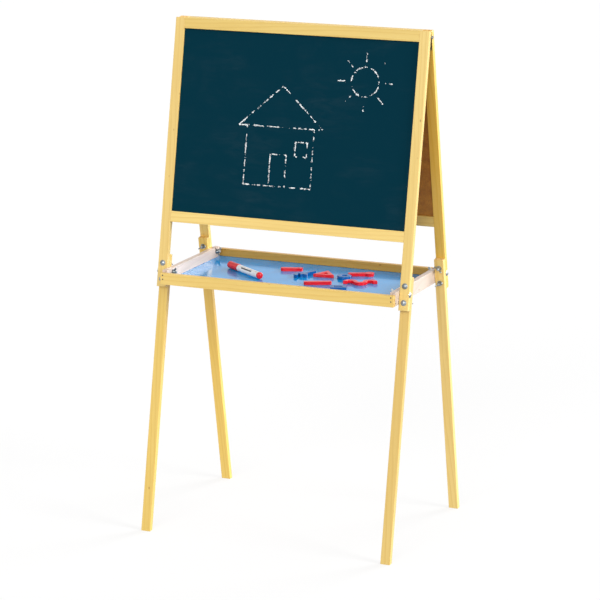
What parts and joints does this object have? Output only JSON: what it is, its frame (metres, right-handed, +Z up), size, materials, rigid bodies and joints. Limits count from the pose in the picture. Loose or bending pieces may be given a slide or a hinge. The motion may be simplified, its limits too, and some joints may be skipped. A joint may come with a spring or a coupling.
{
  "type": "kids easel",
  "caption": "Folding double-sided kids easel: chalkboard in front, magnetic dry-wipe board behind, swing-down tray between bolted wooden legs.",
  "frame": {"origin": "on the floor, midway between the four feet, under the hinge line", "axes": "+X to the easel's right seen from the chalkboard side, -Y towards the person at the chalkboard, +Z up"},
  "size_m": [0.6066, 0.441, 1.1331],
  "materials": {
    "pine": "clear satin varnish on pale softwood",
    "hardboard": "raw smooth brown hardboard",
    "chalkboard_paint": "matte dark teal chalkboard paint on hardboard",
    "whiteboard_steel": "gloss white dry-wipe enamel",
    "tray_blue": "gloss blue lacquer on hardboard",
    "zinc_steel": "bright zinc plate",
    "marker_white": "gloss moulded plastic",
    "toy_red": "gloss moulded plastic",
    "toy_blue": "gloss moulded plastic",
    "felt": "felt nib"
  },
  "bodies": {
    "front_frame": {"front_stile_left": "pine", "front_stile_right": "pine", "front_top_rail": "pine", "front_bottom_rail": "pine", "chalkboard": "chalkboard_paint", "front_dowels": "pine", "front_leg_left": "pine", "front_leg_right": "pine", "front_leg_bolts": "zinc_steel", "front_washers": "zinc_steel", "tray_pivot_bolts": "zinc_steel", "front_hinge_leaf_left": "zinc_steel", "front_hinge_leaf_right": "zinc_steel", "front_hinge_screws": "zinc_steel", "hinge_pins": "zinc_steel"},
    "rear_frame": {"rear_stile_left": "pine", "rear_stile_right": "pine", "rear_top_rail": "pine", "rear_bottom_rail": "pine", "whiteboard_sheet": "whiteboard_steel", "whiteboard_backing": "hardboard", "rear_dowels": "pine", "rear_leg_left": "pine", "rear_leg_right": "pine", "rear_leg_bolts": "zinc_steel", "rear_washers": "zinc_steel", "tray_rear_bolts": "zinc_steel", "rear_hinge_leaf_left": "zinc_steel", "rear_hinge_leaf_right": "zinc_steel", "rear_hinge_screws": "zinc_steel"},
    "tray": {"tray_front_rail": "pine", "tray_rear_rail": "pine", "tray_side_rail_left": "pine", "tray_side_rail_right": "pine", "tray_floor_panel": "tray_blue", "tray_nails": "zinc_steel"},
    "marker": {"marker_barrel": "marker_white", "marker_cap": "toy_red", "marker_end_plug": "toy_red", "marker_nib": "felt"},
    "magnet_red_bar": {"magnet_red_bar": "toy_red"},
    "magnet_red_triangle": {"magnet_red_triangle": "toy_red"},
    "magnet_red_stick": {"magnet_red_stick": "toy_red"},
    "magnet_red_paddle": {"magnet_red_paddle": "toy_red"},
    "magnet_red_wave": {"magnet_red_wave": "toy_red"},
    "magnet_blue_hook": {"magnet_blue_hook": "toy_blue"},
    "magnet_blue_ring": {"magnet_blue_ring": "toy_blue"},
    "magnet_blue_block": {"magnet_blue_block": "toy_blue"},
    "wing_nut_front_left_upper": {"wing_nut_front_left_upper": "zinc_steel"},
    "wing_nut_front_left_lower": {"wing_nut_front_left_lower": "zinc_steel"},
    "wing_nut_front_right_upper": {"wing_nut_front_right_upper": "zinc_steel"},
    "wing_nut_front_right_lower": {"wing_nut_front_right_lower": "zinc_steel"},
    "wing_nut_rear_left_upper": {"wing_nut_rear_left_upper": "zinc_steel"},
    "wing_nut_rear_left_lower": {"wing_nut_rear_left_lower": "zinc_steel"},
    "wing_nut_rear_right_upper": {"wing_nut_rear_right_upper": "zinc_steel"},
    "wing_nut_rear_right_lower": {"wing_nut_rear_right_lower": "zinc_steel"},
    "wing_nut_tray_front_left": {"wing_nut_tray_front_left": "zinc_steel"},
    "wing_nut_tray_front_right": {"wing_nut_tray_front_right": "zinc_steel"},
    "wing_nut_tray_rear_left": {"wing_nut_tray_rear_left": "zinc_steel"},
    "wing_nut_tray_rear_right": {"wing_nut_tray_rear_right": "zinc_steel"}
  },
  "joints": [
    {"name": "fold", "type": "hinge", "parent": "front_frame", "child": "rear_frame", "pos_m": [0, 0, 1.11848], "axis": [-1, 0, 0], "range_deg": [0, 17]},
    {"name": "tray_swing", "type": "hinge", "parent": "front_frame", "child": "tray", "pos_m": [0, -0.11435, 0.57736], "axis": [-1, 0, 0], "range_deg": [0, 101]},
    {"name": "marker_lift", "type": "slide", "parent": "tray", "child": "marker", "axis": [0, 0, 1], "range_m": [0, 0.06]},
    {"name": "magnet_red_bar_lift", "type": "slide", "parent": "tray", "child": "magnet_red_bar", "axis": [0, 0, 1], "range_m": [0, 0.06]},
    {"name": "magnet_red_triangle_lift", "type": "slide", "parent": "tray", "child": "magnet_red_triangle", "axis": [0, 0, 1], "range_m": [0, 0.06]},
    {"name": "magnet_red_stick_lift", "type": "slide", "parent": "tray", "child": "magnet_red_stick", "axis": [0, 0, 1], "range_m": [0, 0.06]},
    {"name": "magnet_red_paddle_lift", "type": "slide", "parent": "tray", "child": "magnet_red_paddle", "axis": [0, 0, 1], "range_m": [0, 0.06]},
    {"name": "magnet_red_wave_lift", "type": "slide", "parent": "tray", "child": "magnet_red_wave", "axis": [0, 0, 1], "range_m": [0, 0.06]},
    {"name": "magnet_blue_hook_lift", "type": "slide", "parent": "tray", "child": "magnet_blue_hook", "axis": [0, 0, 1], "range_m": [0, 0.06]},
    {"name": "magnet_blue_ring_lift", "type": "slide", "parent": "tray", "child": "magnet_blue_ring", "axis": [0, 0, 1], "range_m": [0, 0.06]},
    {"name": "magnet_blue_block_lift", "type": "slide", "parent": "tray", "child": "magnet_blue_block", "axis": [0, 0, 1], "range_m": [0, 0.06]},
    {"name": "wing_nut_front_left_upper_turn", "type": "hinge", "parent": "front_frame", "child": "wing_nut_front_left_upper", "pos_m": [-0.289, -0.09217, 0.59139], "axis": [0, 0.9816, -0.1908], "continuous": true},
    {"name": "wing_nut_front_left_lower_turn", "type": "hinge", "parent": "front_frame", "child": "wing_nut_front_left_lower", "pos_m": [-0.289, -0.09904, 0.55605], "axis": [0, 0.9816, -0.1908], "continuous": true},
    {"name": "wing_nut_front_right_upper_turn", "type": "hinge", "parent": "front_frame", "child": "wing_nut_front_right_upper", "pos_m": [0.289, -0.09217, 0.59139], "axis": [0, 0.9816, -0.1908], "continuous": true},
    {"name": "wing_nut_front_right_lower_turn", "type": "hinge", "parent": "front_frame", "child": "wing_nut_front_right_lower", "pos_m": [0.289, -0.09904, 0.55605], "axis": [0, 0.9816, -0.1908], "continuous": true},
    {"name": "wing_nut_rear_left_upper_turn", "type": "hinge", "parent": "rear_frame", "child": "wing_nut_rear_left_upper", "pos_m": [-0.289, 0.09217, 0.59139], "axis": [0, -0.9816, -0.1908], "continuous": true},
    {"name": "wing_nut_rear_left_lower_turn", "type": "hinge", "parent": "rear_frame", "child": "wing_nut_rear_left_lower", "pos_m": [-0.289, 0.09904, 0.55605], "axis": [0, -0.9816, -0.1908], "continuous": true},
    {"name": "wing_nut_rear_right_upper_turn", "type": "hinge", "parent": "rear_frame", "child": "wing_nut_rear_right_upper", "pos_m": [0.289, 0.09217, 0.59139], "axis": [0, -0.9816, -0.1908], "continuous": true},
    {"name": "wing_nut_rear_right_lower_turn", "type": "hinge", "parent": "rear_frame", "child": "wing_nut_rear_right_lower", "pos_m": [0.289, 0.09904, 0.55605], "axis": [0, -0.9816, -0.1908], "continuous": true},
    {"name": "wing_nut_tray_front_left_turn", "type": "hinge", "parent": "front_frame", "child": "wing_nut_tray_front_left", "pos_m": [-0.2641, -0.11435, 0.57736], "axis": [1, 0, 0], "continuous": true},
    {"name": "wing_nut_tray_front_right_turn", "type": "hinge", "parent": "front_frame", "child": "wing_nut_tray_front_right", "pos_m": [0.2641, -0.11435, 0.57736], "axis": [-1, 0, 0], "continuous": true},
    {"name": "wing_nut_tray_rear_left_turn", "type": "hinge", "parent": "rear_frame", "child": "wing_nut_tray_rear_left", "pos_m": [-0.2641, 0.11435, 0.57736], "axis": [1, 0, 0], "continuous": true},
    {"name": "wing_nut_tray_rear_right_turn", "type": "hinge", "parent": "rear_frame", "child": "wing_nut_tray_rear_right", "pos_m": [0.2641, 0.11435, 0.57736], "axis": [-1, 0, 0], "continuous": true}
  ],
  "couplings": [
    {"joint": "tray_swing", "follows": "fold", "ratio": 5.9412}
  ]
}
